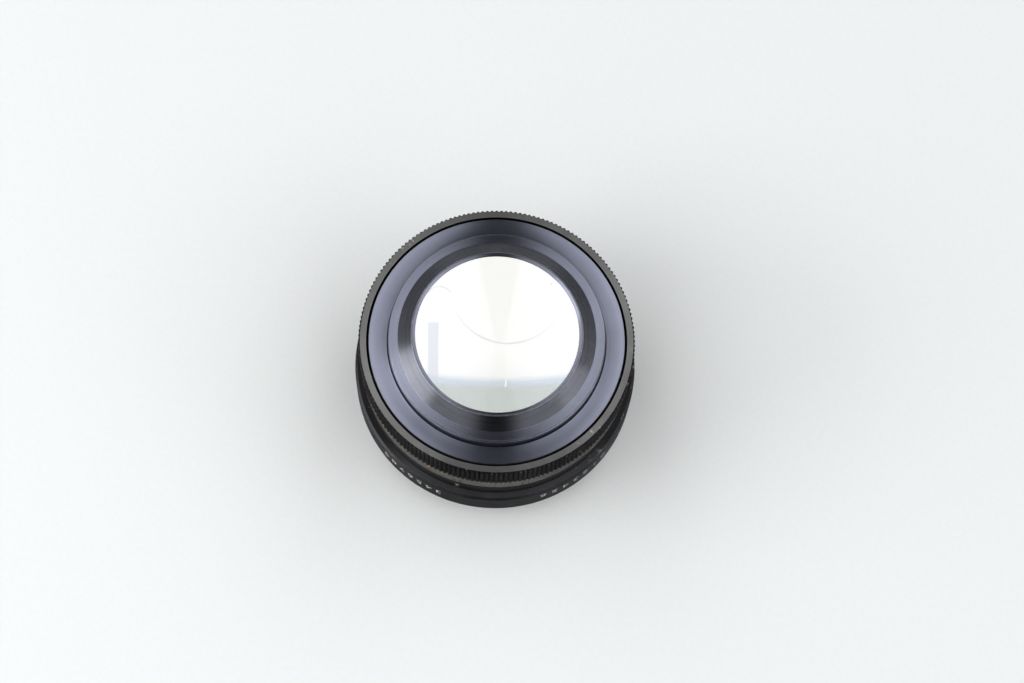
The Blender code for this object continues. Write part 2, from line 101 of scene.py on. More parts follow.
# ------------------------------------------------------------------ node graphs
class Graph:
    """Builds the node tree of a material or a world. Tuples are RGB colours."""

    def __init__(self, block, output="ShaderNodeOutputMaterial"):
        self.block = block
        block.use_nodes = True
        self.tree = block.node_tree
        self.tree.nodes.clear()
        self.output = self.node(output)

    def node(self, kind, inputs=None, **props):
        node = self.tree.nodes.new(kind)
        for key, value in props.items():
            setattr(node, key, value)
        for key, value in (inputs or {}).items():
            self.feed(node.inputs[key], value)
        return node

    def feed(self, socket, value):
        if isinstance(value, bpy.types.NodeSocket):
            self.tree.links.new(value, socket)
        elif isinstance(value, tuple):
            socket.default_value = (*value, 1.0)
        else:
            socket.default_value = value

    def surface(self, shader):
        """Sends a shader to the output and returns the finished material or world."""
        self.feed(self.output.inputs["Surface"], shader)
        return self.block

    def math(self, operation, a, b=0.0, clamp=False):
        return self.node("ShaderNodeMath", {0: a, 1: b}, operation=operation,
                         use_clamp=clamp).outputs[0]

    def add(self, a, b, clamp=False):
        return self.math("ADD", a, b, clamp)

    def subtract(self, a, b, clamp=False):
        return self.math("SUBTRACT", a, b, clamp)

    def multiply(self, *factors, clamp=False):
        """Product of two or more factors; only the last product is clamped."""
        product, *others, last = factors
        for factor in others:
            product = self.math("MULTIPLY", product, factor)
        return self.math("MULTIPLY", product, last, clamp)

    def absolute(self, value):
        return self.math("ABSOLUTE", value)

    def length(self, a, b):
        return self.math("SQRT", self.add(self.multiply(a, a), self.multiply(b, b)))

    def ramp(self, value, span, out=(0.0, 1.0), smooth=True):
        """Maps span to out, clamped outside."""
        inputs = {"Value": value, "From Min": span[0], "From Max": span[1],
                  "To Min": out[0], "To Max": out[1]}
        return self.node("ShaderNodeMapRange", inputs, clamp=True,
                         interpolation_type="SMOOTHSTEP" if smooth else "LINEAR").outputs["Result"]

    def fall(self, value, span, smooth=True):
        """Falls from 1 to 0 across span."""
        return self.ramp(value, span, (1.0, 0.0), smooth)

    def noise(self, vector, scale, detail=2.0, rough=0.5):
        inputs = {"Vector": vector, "Scale": scale, "Detail": detail, "Roughness": rough}
        return self.node("ShaderNodeTexNoise", inputs).outputs["Fac"]

    def centred(self, noise, gain):
        """Noise shifted to swing about zero, times gain."""
        return self.multiply(self.subtract(noise, 0.5), gain)

    def mix(self, fac, a, b, blend="MIX"):
        # 0, 6 and 7 are the factor and the two colour sockets of the Mix node
        return self.node("ShaderNodeMix", {0: fac, 6: a, 7: b}, data_type="RGBA",
                         blend_type=blend).outputs[2]

    def mix_shader(self, fac, a, b):
        return self.node("ShaderNodeMixShader", {0: fac, 1: a, 2: b}).outputs[0]

    def object_coords(self):
        return self.node("ShaderNodeTexCoord").outputs["Object"]

    def split(self, vector):
        return self.node("ShaderNodeSeparateXYZ", {0: vector}).outputs

    def bump(self, height, strength, distance=0.00002):
        """Distance is in metres."""
        inputs = {"Strength": strength, "Distance": distance, "Height": height}
        return self.node("ShaderNodeBump", inputs).outputs[0]

    def principled(self, colour, roughness, metallic, normal, aniso=0.0, edge_tint=1.0):
        shader = self.node("ShaderNodeBsdfPrincipled", {
            "Base Color": colour, "Roughness": roughness, "Metallic": metallic,
            "Specular Tint": (edge_tint,) * 3, "Normal": normal})
        if aniso:
            tangent = self.node("ShaderNodeTangent", direction_type="RADIAL", axis="Z")
            self.feed(shader.inputs["Anisotropic"], aniso)
            self.feed(shader.inputs["Anisotropic Rotation"], 0.25)
            self.feed(shader.inputs["Tangent"], tangent.outputs[0])
        return shader


def new_material(name):
    return Graph(bpy.data.materials.new(name))


# ------------------------------------------------------------------ material recipes
GROOVE_WIDTH = 0.09           # spacing of the tool grooves
SPECK_COLOUR = (0.42, 0.41, 0.39)
RUST_COLOUR = (0.22, 0.085, 0.035)
DUST_COLOUR = (0.30, 0.30, 0.29)


def turned_metal(name, dark, light, roughness, aniso, wear, metallic=1.0, groove=0.3,
                 wear_tint=(0.55, 0.54, 0.52), wear_all_over=False, haze=0.5, rust=0.0, dust=0.0,
                 edge_tint=1.0, speckle=0.75, side_fade=None):
    """Anodised turned metal: grooves along the turning, tone drift, wear, specks, rust and dust.

    groove is the bump strength, haze the unevenness of the gloss, edge_tint the grazing tint.
    side_fade is (start y, end y, tone left beyond the end), with y in metres."""
    m = new_material(name)
    coords = m.object_coords()
    x, y, z = m.split(coords)
    # radius and height in mm, so that the noise is constant round the axis
    along = m.node("ShaderNodeCombineXYZ", {
        0: m.multiply(m.length(x, y), 1000.0), 1: m.multiply(z, 1000.0), 2: 0.0}).outputs[0]
    fine = m.noise(along, scale=1.0 / GROOVE_WIDTH, detail=3.0, rough=0.6)
    broad = m.noise(along, scale=0.9)
    drift = m.noise(coords, scale=70.0, detail=3.0, rough=0.55)
    smudge = m.noise(coords, scale=260.0, detail=4.0, rough=0.65)

    # tone: slow drift and broad bands, with painted sheen lightening the crests of the grooves
    tone = m.add(m.multiply(drift, 0.65), m.multiply(broad, 0.35))
    colour = m.mix(m.ramp(tone, span=(0.35, 0.68)), dark, light)
    crest_sheen = tuple(min(1.0, c * 1.9 + 0.01) for c in light)
    colour = m.mix(m.ramp(fine, span=(0.56, 0.80), out=(0.0, 0.30)), colour, crest_sheen)
    if side_fade:
        start, end, tone_left = side_fade
        gain = m.ramp(y, span=(start, end), out=(1.0, tone_left))
        colour = m.node("ShaderNodeVectorMath", {0: colour, "Scale": gain},
                        operation="SCALE").outputs[0]

    # rubbed patches, on convex edges unless the whole surface is worn
    nick = m.ramp(m.noise(coords, scale=900.0, detail=4.0, rough=0.7), span=(0.52, 0.66))
    if wear_all_over:
        rub = m.multiply(nick, wear, clamp=True)
    else:
        geometry = m.node("ShaderNodeNewGeometry")
        edge = m.ramp(geometry.outputs["Pointiness"], span=(0.515, 0.60))
        rub = m.multiply(edge, nick, wear, clamp=True)
    colour = m.mix(rub, colour, wear_tint)

    # pale specks, gathered in patches
    grit = m.ramp(m.noise(coords, scale=2600.0), span=(0.735, 0.775))
    patch = m.ramp(m.noise(coords, scale=150.0), span=(0.50, 0.66))
    speck = m.multiply(grit, patch, speckle)
    colour = m.mix(speck, colour, SPECK_COLOUR)
    metal = m.subtract(metallic, m.multiply(speck, 0.6), clamp=True)
    if rust:
        spot = m.ramp(m.noise(coords, scale=700.0, detail=3.0, rough=0.6), span=(0.62, 0.70))
        zone = m.ramp(m.noise(coords, scale=110.0), span=(0.50, 0.62))
        rusted = m.multiply(spot, zone, rust)
        colour = m.mix(rusted, colour, RUST_COLOUR)
        metal = m.subtract(metal, m.multiply(rusted, 0.8), clamp=True)
    if dust:
        settled = m.multiply(m.ramp(smudge, span=(0.45, 0.75)), dust)
        colour = m.mix(settled, colour, DUST_COLOUR)
        metal = m.subtract(metal, m.multiply(settled, 0.8), clamp=True)

    rough = m.add(roughness, m.centred(smudge, gain=haze * 0.35))
    rough = m.add(rough, m.centred(fine, gain=0.10), clamp=True)
    shader = m.principled(colour, rough, metal, m.bump(fine, strength=groove), aniso, edge_tint)
    return m.surface(shader.outputs[0])


def plain_metal(name, dark, light, roughness, metallic, scale=500.0, bump=0.25):
    """Metal without turning marks: cloudy tone and a fine grain."""
    m = new_material(name)
    coords = m.object_coords()
    cloud = m.noise(coords, scale=scale, detail=4.0, rough=0.6)
    grain = m.noise(coords, scale=scale * 6.0)
    colour = m.mix(m.ramp(cloud, span=(0.3, 0.7)), dark, light)
    rough = m.add(roughness, m.centred(cloud, gain=0.25), clamp=True)
    shader = m.principled(colour, rough, metallic, m.bump(grain, strength=bump))
    return m.surface(shader.outputs[0])


def paint(name, colour, shade):
    """Wax filled into an engraving, a little uneven and chipped."""
    m = new_material(name)
    chips = m.noise(m.object_coords(), scale=1800.0, detail=4.0, rough=0.65)
    fill = m.mix(m.ramp(chips, span=(0.42, 0.70)), colour, shade)
    roughness = 0.55
    rough = m.ramp(chips, span=(0.2, 0.8), out=(roughness - 0.12, roughness + 0.15))
    normal = m.bump(chips, strength=0.5, distance=0.00004)
    return m.surface(m.principled(fill, rough, 0.0, normal).outputs[0])


GLASS_TINT = (1.0, 1.0, 0.998)
PAINTED_GHOST_LINE = (0.30, 0.32, 0.30)


def painted_reflections(m, coords):
    """Painted reflections and a painted view through the front glass: a grey lower cap with a blue
    fringe, wedges, arcs, a bar.

    u runs across and v up as seen from the tilted camera, both in mm."""
    x, y, z = m.split(coords)
    # mm of v for a metre of y and of z, and the height in metres where v is zero
    v_from_y, v_from_z, zero_z = 953.0, 304.0, 0.032
    u = m.multiply(x, 1000.0)
    lift = m.multiply(m.subtract(z, zero_z), v_from_z)
    v = m.add(m.multiply(y, v_from_y), lift)

    # painted view through the glass: lower cap with a curved rim, grey, blue fringe, pale, then
    # clear
    bend = 0.004
    bent = m.subtract(v, m.multiply(m.multiply(u, u), bend))
    colour = m.mix(m.ramp(bent, span=(-10.9, -8.9)), (0.600, 0.642, 0.626), (0.665, 0.730, 0.800))
    colour = m.mix(m.ramp(bent, span=(-9.3, -7.6)), colour, (0.950, 0.955, 0.950))
    colour = m.mix(m.ramp(bent, span=(-8.0, -3.5)), colour, (1.0, 1.0, 0.998))

    # painted reflections: pale wedge, point down, and its greyer mirror image below
    off = m.absolute(m.subtract(u, 0.5))
    half_width = m.ramp(v, span=(-1.0, 17.0), out=(0.9, 4.6), smooth=False)
    inside = m.fall(m.subtract(off, half_width), span=(-0.5, 0.3))
    above = m.ramp(v, span=(-2.0, 1.0))
    colour = m.mix(m.multiply(inside, above), colour, (0.950, 0.956, 0.930))
    half_width = m.ramp(v, span=(-18.0, -1.0), out=(4.2, 0.8), smooth=False)
    inside = m.fall(m.subtract(off, half_width), span=(-0.8, 0.6))
    below = m.fall(v, span=(-2.5, -0.5))
    colour = m.mix(m.multiply(inside, below, 0.55), colour, (0.925, 0.930, 0.895),
                   blend="MULTIPLY")

    # painted reflection: thin arc, fading to both ends and upwards
    arc_u, arc_v, arc_r = 2.27, 11.9, 12.7
    reach = m.length(m.subtract(u, arc_u), m.subtract(v, arc_v))
    line = m.fall(m.absolute(m.subtract(reach, arc_r)), span=(0.04, 0.36))
    ends = m.ramp(m.absolute(m.subtract(u, arc_u - 0.6)), span=(3.0, 12.5), out=(0.26, 0.13),
                  smooth=False)
    lower = m.fall(v, span=(4.5, 9.0))
    colour = m.mix(m.multiply(line, ends, lower), colour, PAINTED_GHOST_LINE)

    # painted reflection: short curl above the bar
    curl_left, curl_v, curl_r = 12.4, 8.5, 2.9
    reach = m.length(m.add(u, curl_left), m.subtract(v, curl_v))
    line = m.fall(m.absolute(m.subtract(reach, curl_r)), span=(0.04, 0.34))
    curl = m.multiply(line, m.ramp(v, span=(9.4, 10.4), out=(0.0, 0.28)))
    colour = m.mix(curl, colour, (0.30, 0.32, 0.34))

    # painted highlight: fine bright streak, leaning right, across the top of the cap
    lean, streak_u = 0.10, 2.75
    leaning = m.subtract(u, m.multiply(v, lean))
    streak = m.fall(m.absolute(m.subtract(leaning, streak_u)), span=(0.05, 0.20))
    extent = m.multiply(m.ramp(v, span=(-10.2, -9.8)), m.fall(v, span=(-4.6, -4.0)))
    colour = m.mix(m.multiply(streak, extent, 0.85), colour, (1.0, 1.0, 0.99))

    # painted reflection: upright bar near the left edge
    bar_left = 13.7
    across = m.fall(m.absolute(m.add(u, bar_left)), span=(1.0, 1.3))
    extent = m.multiply(m.fall(v, span=(3.4, 4.0)), m.ramp(v, span=(-9.6, -8.6)))
    colour = m.mix(m.multiply(across, extent, 0.62), colour, (0.66, 0.69, 0.75))

    # only the outer face carries them
    return m.mix(m.ramp(z, span=(0.0335, 0.0340)), GLASS_TINT, colour)


def coated_glass(name, ior, coat_tint, reflect, ghosts=False):
    """Clear glass whose coating reflects little, with a coloured tint, and a little dust; ghosts
    paints reflections into its colour.
    """
    m = new_material(name)
    coords = m.object_coords()
    refraction = m.node("ShaderNodeBsdfRefraction",
                        {"Color": GLASS_TINT, "Roughness": 0.0, "IOR": ior})
    # ghosts sets painted reflections into the refraction colour
    if ghosts:
        m.feed(refraction.inputs["Color"], painted_reflections(m, coords))
    smear = m.noise(coords, scale=220.0, detail=4.0, rough=0.6)
    gloss = m.node("ShaderNodeBsdfGlossy", {
        "Color": coat_tint, "Roughness": m.ramp(smear, span=(0.4, 0.8), out=(0.005, 0.05))})
    fresnel = m.node("ShaderNodeFresnel", {"IOR": 1.5})
    mirror = m.multiply(fresnel.outputs[0], reflect, clamp=True)
    shader = m.mix_shader(mirror, refraction.outputs[0], gloss.outputs[0])

    # fine dust that catches light
    dust = m.node("ShaderNodeBsdfDiffuse", {"Color": (0.8, 0.8, 0.8)})
    grains = m.ramp(m.noise(coords, scale=3200.0, detail=1.0, rough=0.4), span=(0.76, 0.80))
    patch = m.ramp(m.noise(coords, scale=240.0), span=(0.45, 0.70))
    shader = m.mix_shader(m.multiply(grains, patch, 0.35), shader, dust.outputs[0])

    # light passes straight through for shadows, so the barrel isn't pitch black
    path = m.node("ShaderNodeLightPath")
    clear = m.node("ShaderNodeBsdfTransparent", {"Color": GLASS_TINT})
    return m.surface(m.mix_shader(path.outputs["Is Shadow Ray"], shader, clear.outputs[0]))


# ------------------------------------------------------------------ materials
VIOLET = turned_metal(
    "violet_anodised", dark=(0.238, 0.249, 0.316), light=(0.282, 0.294, 0.368),
    roughness=0.42, aniso=1.0, groove=0.25, wear=0.25, haze=0.22, speckle=0.10)
# painted light: a lighter copy of the violet anodising, for the dish of the front cell
DISH_LIT = turned_metal(
    "violet_dish_painted_light", dark=(0.320, 0.335, 0.424), light=(0.372, 0.388, 0.482),
    roughness=0.43, aniso=1.0, groove=0.25, wear=0.25, haze=0.22, speckle=0.12)
# painted shade: a dark copy of the anodising, for the foot of the nose's step wall
FOOT_SHADED = turned_metal(
    "nose_foot_painted_shade", dark=(0.062, 0.063, 0.083), light=(0.088, 0.089, 0.112),
    roughness=0.40, aniso=0.6, groove=0.25, wear=0.05, edge_tint=0.48, speckle=0.1)
CONE = turned_metal(
    "cone_anodised", dark=(0.064, 0.065, 0.076), light=(0.086, 0.088, 0.101),
    roughness=0.28, aniso=0.70, groove=0.12, wear=0.04, haze=0.12, speckle=0.03)
EDGE = turned_metal(
    "bright_edge", dark=(0.13, 0.13, 0.155), light=(0.21, 0.21, 0.245),
    roughness=0.42, aniso=0.5, groove=0.2, wear=0.26, wear_all_over=True,
    wear_tint=(0.46, 0.45, 0.44), speckle=0.1)
# painted shade: a darker copy of the violet anodising, for the nose's step wall and its groove
WALL_SHADED = turned_metal(
    "nose_wall_painted_shade", dark=(0.17, 0.17, 0.23), light=(0.22, 0.22, 0.29),
    roughness=0.40, aniso=0.8, groove=0.25, wear=0.1, edge_tint=0.50, speckle=0.1)
GRIP_FACE = turned_metal(
    "grip_face", dark=(0.132, 0.130, 0.129), light=(0.180, 0.176, 0.173),
    roughness=0.53, aniso=0.74, metallic=0.92, groove=0.4, wear=0.8, dust=0.10, speckle=0.5)
KNURL = turned_metal(
    "knurl", dark=(0.012, 0.012, 0.013), light=(0.026, 0.026, 0.027),
    roughness=0.46, aniso=0.0, groove=0.15, wear=0.7, rust=0.7, dust=0.04,
    wear_tint=(0.24, 0.23, 0.22), edge_tint=0.47, speckle=0.5)
SATIN = turned_metal(
    "scale_satin", dark=(0.150, 0.146, 0.139), light=(0.212, 0.205, 0.194),
    roughness=0.42, aniso=0.55, metallic=0.92, wear=0.8, rust=0.8, edge_tint=0.34,
    side_fade=(-0.0285, -0.0225, 0.80))
BLACK = turned_metal(
    "black_barrel", dark=(0.024, 0.024, 0.025), light=(0.038, 0.038, 0.040),
    roughness=0.42, aniso=0.5, wear=0.9, haze=0.6, rust=0.25, edge_tint=0.545)
COLLAR = turned_metal(
    "black_collar", dark=(0.027, 0.027, 0.029), light=(0.042, 0.042, 0.045),
    roughness=0.40, aniso=0.45, wear=1.0, haze=0.6, rust=0.2, edge_tint=0.48)
# painted light: a lighter copy of the collar finish for the collar's top face, lightest towards -Y
COLLAR_TOP_LIT = turned_metal(
    "collar_shoulder_painted_light", dark=(0.068, 0.068, 0.072), light=(0.096, 0.096, 0.101),
    roughness=0.46, aniso=0.3, metallic=0.97, wear=0.6, rust=0.2, edge_tint=0.5,
    side_fade=(-0.0255, -0.0165, 0.30))
SHADE = plain_metal("matt_inside", dark=(0.010, 0.010, 0.011), light=(0.022, 0.022, 0.023),
                    roughness=0.62, metallic=0.3)
BLADE = plain_metal("blued_blade", dark=(0.030, 0.034, 0.044), light=(0.055, 0.058, 0.068),
                    roughness=0.42, metallic=0.7, scale=180.0, bump=0.2)
STEEL = plain_metal("steel", dark=(0.34, 0.34, 0.34), light=(0.52, 0.52, 0.51),
                    roughness=0.28, metallic=1.0, scale=900.0)
DARK_STEEL = plain_metal("blackened_screw", dark=(0.05, 0.05, 0.05), light=(0.12, 0.12, 0.12),
                         roughness=0.35, metallic=0.9, scale=900.0)
INK = paint("black_fill", colour=(0.010, 0.010, 0.010), shade=(0.03, 0.03, 0.03))
ORANGE = paint("orange_fill", colour=(0.46, 0.13, 0.035), shade=(0.26, 0.08, 0.03))
WHITE = paint("white_fill", colour=(0.40, 0.39, 0.36), shade=(0.13, 0.125, 0.115))
OLIVE = paint("olive_fill", colour=(0.17, 0.155, 0.06), shade=(0.08, 0.07, 0.03))
# the front glass carries painted reflections in its colour
GLASS = coated_glass("front_glass", ior=2.15, coat_tint=(0.60, 0.58, 0.80), reflect=0.26,
                     ghosts=True)
INNER_GLASS = coated_glass("inner_glass", ior=1.45, coat_tint=(0.60, 0.70, 0.95), reflect=0.22)


# ------------------------------------------------------------------ mesh helpers
def shade(mesh, sharp):
    mesh.shade_smooth()
    mesh.set_sharp_from_angle(angle=math.radians(sharp))


def mesh_object(name, bm, mats=()):
    """Turns a bmesh into an object in the scene and frees it."""
    bmesh.ops.recalc_face_normals(bm, faces=bm.faces)
    mesh = bpy.data.meshes.new(name)
    bm.to_mesh(mesh)
    bm.free()
    for mat in mats:
        mesh.materials.append(mat)
    obj = bpy.data.objects.new(name, mesh)
    bpy.context.scene.collection.objects.link(obj)
    return obj


def finish(name, bm, mats, node=None, body="barrel", sharp=SHARP_ANGLE):
    """Makes a piece, ties it to its moving body and lets it stand in for a CAD node."""
    obj = mesh_object(name, bm, mats)
    shade(obj.data, sharp)
    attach(obj, body)
    if node:
        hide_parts(node)
    return obj


def rounded(points):
    """Profile corners become small arcs with a guard loop on either side.

    points: (radius, height, fillet[, material index]); the material index belongs to the
    segment that starts at the point."""
    corners = [(*point, 0)[:4] for point in points]
    out = []
    for i, (r, z, fillet, mat) in enumerate(corners):
        before, after = corners[i - 1], corners[(i + 1) % len(corners)]
        if fillet <= 0:
            out.append((r, z, mat))
            continue
        to_before = Vector((before[0] - r, before[1] - z))
        to_after = Vector((after[0] - r, after[1] - z))
        room_before, room_after = to_before.length * 0.45, to_after.length * 0.45
        to_before.normalize()
        to_after.normalize()
        half = math.acos(max(-1.0, min(1.0, to_before.dot(to_after)))) / 2
        if half > math.radians(88.5):         # nearly straight
            out.append((r, z, mat))
            continue
        reach = min(fillet / math.tan(half), room_before, room_after)
        radius = reach * math.tan(half)
        corner = Vector((r, z))
        centre = corner + (to_before + to_after).normalized() * (radius / math.sin(half))
        start = corner + to_before * reach
        end = corner + to_after * reach
        if room_before > reach + FILLET_GUARD:
            guard = corner + to_before * (reach + FILLET_GUARD)
            out.append((guard.x, guard.y, before[3]))
        first = math.atan2(start.y - centre.y, start.x - centre.x)
        last = math.atan2(end.y - centre.y, end.x - centre.x)
        sweep = (last - first + math.pi) % math.tau - math.pi
        for k in range(FILLET_STEPS + 1):
            angle = first + sweep * k / FILLET_STEPS
            out.append((centre.x + radius * math.cos(angle), centre.y + radius * math.sin(angle),
                        before[3] if k < FILLET_STEPS // 2 else mat))
        if room_after > reach + FILLET_GUARD:
            guard = corner + to_after * (reach + FILLET_GUARD)
            out.append((guard.x, guard.y, mat))
    return out


def lathe(profile, seg, closed=True, shape=None, base=SEAT_Z):
    """Turns a (radius, height, material index) profile; shape(r, z, angle) may move a radius."""
    bm = bmesh.new()
    rings = []
    for r, z, _ in profile:
        if r < 1e-6:
            rings.append([bm.verts.new((0.0, 0.0, (z + base) * MM))])
            continue
        ring = []
        for k in range(seg):
            angle = math.tau * k / seg
            rr = shape(r, z, angle) if shape else r
            ring.append(bm.verts.new((rr * MM * math.cos(angle), rr * MM * math.sin(angle),
                                      (z + base) * MM)))
        rings.append(ring)
    for i in range(len(rings) if closed else len(rings) - 1):
        a, b = rings[i], rings[(i + 1) % len(rings)]
        for k in range(seg):
            k2 = (k + 1) % seg
            if len(a) == 1:
                face = bm.faces.new((a[0], b[k], b[k2]))
            elif len(b) == 1:
                face = bm.faces.new((a[k], b[0], a[k2]))
            else:
                face = bm.faces.new((a[k], b[k], b[k2], a[k2]))
            face.material_index = profile[i][2]
    return bm


def turned(name, node, points, mats, body="barrel", seg=256, shape=None,
           sharp=SHARP_ANGLE):
    return finish(name, lathe(rounded(points), seg, shape=shape), mats, node, body, sharp)


def polar(r, angle):
    angle = math.radians(angle)
    return r * math.cos(angle), r * math.sin(angle)


def shift_to(x, y, height):
    """Matrix that moves the origin to a point given in mm, with its height above the seat."""
    return Matrix.Translation(Vector((x, y, height + SEAT_Z)) * MM)


def add_cylinder(bm, radius, start, end, seg):
    """Cylinder between two frame points in mm."""
    start, end = Vector(start), Vector(end)
    span = end - start
    turn = span.to_track_quat("Z", "Y").to_matrix().to_4x4()
    bmesh.ops.create_cone(bm, cap_ends=True, segments=seg, radius1=radius * MM,
                          radius2=radius * MM, depth=span.length * MM,
                          matrix=Matrix.Translation((start + end) / 2 * MM) @ turn)


def add_spoke(bm, radius, angle, r_in, r_out, height, seg=24):
    """Cylinder that points away from the axis."""
    add_cylinder(bm, radius, (*polar(r_in, angle), height + SEAT_Z),
                 (*polar(r_out, angle), height + SEAT_Z), seg)


def add_block(bm, matrix, size):
    scale = Matrix.Diagonal((*(side * MM for side in size), 1.0))
    bmesh.ops.create_cube(bm, size=1.0, matrix=matrix @ scale)


def skin(bm, rows):
    """Joins rows of four vertices into a bar with closed ends."""
    for a, b in zip(rows, rows[1:]):
        for k in range(4):
            k2 = (k + 1) % 4
            bm.faces.new((a[k], a[k2], b[k2], b[k]))
    bm.faces.new(rows[0])
    bm.faces.new(rows[-1][::-1])


def cut(obj, build, operation="DIFFERENCE", sharp=SHARP_ANGLE):
    """Boolean with a tool made by build(bm), applied to the mesh."""
    bm = bmesh.new()
    build(bm)
    tool = mesh_object(obj.name + "_tool", bm)
    mod = obj.modifiers.new("cut", "BOOLEAN")
    mod.operation = operation
    mod.solver = "EXACT"
    mod.object = tool
    bpy.context.view_layer.update()
    depsgraph = bpy.context.evaluated_depsgraph_get()
    fresh = bpy.data.meshes.new_from_object(obj.evaluated_get(depsgraph))
    obj.modifiers.remove(mod)
    old = obj.data
    obj.data = fresh
    bpy.data.meshes.remove(old)
    bpy.data.objects.remove(tool, do_unlink=True)
    shade(obj.data, sharp)


# ------------------------------------------------------------------ barrel
def thread(r, z, angle):
    """Helical V thread on the boss, running out at both ends."""
    if not (BOSS_R - 0.05 <= r <= 25.2 and THREAD_LOW < z < THREAD_HIGH):
        return r
    turn = (z / THREAD_PITCH - angle / math.tau) % 1.0
    depth = THREAD_DEPTH * abs(2 * turn - 1)
    fade = min(1.0, (z - THREAD_LOW) / THREAD_RUNOUT, (THREAD_HIGH - z) / THREAD_RUNOUT)
    return r - depth * max(0.0, fade)


def barrel_window(bm):
    """Arc window for the drive pin."""
    first, last, steps = 117.5, 188.5, 40
    section = [(25.8, 13.4), (25.8, 15.0), (27.6, 15.0), (27.6, 13.4)]    # radius, height
    rows = []
    for i in range(steps + 1):
        angle = math.radians(first + (last - first) * i / steps)
        rows.append([bm.verts.new((r * MM * math.cos(angle), r * MM * math.sin(angle),
                                   (z + SEAT_Z) * MM)) for r, z in section])
    skin(bm, rows)


def barrel_bores(bm):
    """Upright bore for the click spring and a shallow one for the index dot."""
    x, y = polar(CLICK_R, CLICK_ANGLE)
    add_cylinder(bm, 0.95, (x, y, 9.2 + SEAT_Z), (x, y, 12.8 + SEAT_Z), 28)
    add_spoke(bm, 0.62, INDEX_ANGLE, 28.6, 30.2, INDEX_HEIGHT, 28)


# radius, height, fillet
boss_rows = [(BOSS_R, THREAD_HIGH - 0.09 * i, 0.0) for i in range(51)]
barrel_profile = [
    (26.9, 24.1, 0.1), (27.1, 23.9, 0.05), (27.1, 12.4, 0.1),
    (29.35, 12.4, 0.05), (FLANGE_R, 12.15, 0.05), (FLANGE_R, 8.3, 0.12),
    (28.0, 8.3, 0.1), (28.0, 0.0, 0.1), (24.15, 0.0, 0.1), (24.15, -0.65, 0.05),
    (24.75, -0.9, 0.0), *boss_rows, (24.4, -6.0, 0.08),
    (22.3, -6.0, 0.1), (22.3, 12.9, 0.1), (26.3, 12.9, 0.1), (26.3, 24.1, 0.1),
]
barrel = turned("barrel_body", "main_barrel", barrel_profile, [BLACK],
                seg=240, shape=thread)
cut(barrel, barrel_window)
cut(barrel, barrel_bores)


# ------------------------------------------------------------------ rear collar and screws
def collar_holes(bm):
    for angle in SCREW_ANGLES:
        add_spoke(bm, 0.85, angle, 27.8, 32.0, COLLAR_SCREW_HEIGHT)


# radius, height, fillet, material index
collar = turned("collar_body", "rear_collar", [
    (30.75, 8.0, 0.10, 0), (COLLAR_R, 7.45, 0.10, 0), (COLLAR_R, 0.45, 0.1, 0),
    (30.85, 0.0, 0.1, 0), (28.3, 0.0, 0.1, 0), (28.3, 8.0, 0.1, 1),
], [COLLAR, COLLAR_TOP_LIT])
cut(collar, collar_holes)


def grub_screw(name, node, angle, r_in, r_out, height, radius, body):
    """Headless screw with a slot and a chamfered end, pointing away from the axis."""
    chamfer, ridge_pitch, ridge_depth = 0.08, 0.28, 0.06
    length = r_out - r_in
    turns = max(2, int(length / ridge_pitch))
    profile = [(0.0, r_out, 0), (radius - chamfer, r_out, 0), (radius, r_out - chamfer, 0)]
    for i in range(turns):
        valley = r_out - chamfer - (length - 0.2) * (i + 0.25) / turns
        profile.append((radius - ridge_depth, valley, 0))
        profile.append((radius, valley - (length - 0.2) * 0.5 / turns, 0))
    profile += [(radius - 0.12, r_in, 0), (0.0, r_in, 0)]
    bm = lathe(profile, seg=28, closed=False, base=0.0)
    around = Matrix.Rotation(math.radians(angle), 4, "Z")
    turn = around @ Matrix.Rotation(math.pi / 2, 4, "Y")
    bmesh.ops.transform(bm, verts=bm.verts,
                        matrix=Matrix.Translation((0, 0, (height + SEAT_Z) * MM)) @ turn)
    screw = finish(name, bm, [DARK_STEEL], node, body)

    def driver_slot(tool):
        tilt = Matrix.Rotation(math.radians(25), 4, "X")
        place = shift_to(*polar(r_out, angle), height) @ around @ tilt
        add_block(tool, place, (0.5, 3.0, 0.24))

    cut(screw, driver_slot)


for number, angle in enumerate(SCREW_ANGLES, 1):
    grub_screw(f"collar_grub_{number}", f"collar_screw_{number}", angle, r_in=28.35, r_out=30.75,
               height=COLLAR_SCREW_HEIGHT, radius=0.7, body="barrel")
    grub_screw(f"ring_grub_{number}", f"ring_screw_{number}", angle, r_in=28.1, r_out=29.4,
               height=RING_SCREW_HEIGHT, radius=0.6, body="aperture_ring")


# ------------------------------------------------------------------ aperture ring
def knurl(r, z, angle):
    """Fine straight knurl: rounded ribs with narrow valleys, running out at the chamfers."""
    if r < KNURL_VALLEY_R or not (KNURL_LOW - 0.01 <= z <= KNURL_HIGH):
        return r
    # 0 in a valley, 1 on a rib
    phase = abs(((angle / math.tau * KNURL_TEETH) % 1.0) - 0.5) * 2.0
    return max(KNURL_VALLEY_R, r - KNURL_DEPTH * (1.0 - phase ** 0.75))


def sleeve_holes(bm):
    """Screw holes, the drive pin's hole, and a round click socket for each stop."""
    for angle in SCREW_ANGLES:
        add_spoke(bm, 0.7, angle, 27.0, 29.2, RING_SCREW_HEIGHT)
    add_spoke(bm, 0.62, PIN_ANGLE, 27.0, 29.2, PIN_HEIGHT)
    for stop in range(STOP_COUNT):
        x, y = polar(CLICK_R, CLICK_ANGLE - STOP_TRAVEL * stop / (STOP_COUNT - 1))
        bmesh.ops.create_uvsphere(bm, u_segments=20, v_segments=12, radius=0.78 * MM,
                                  matrix=shift_to(x, y, 12.62))


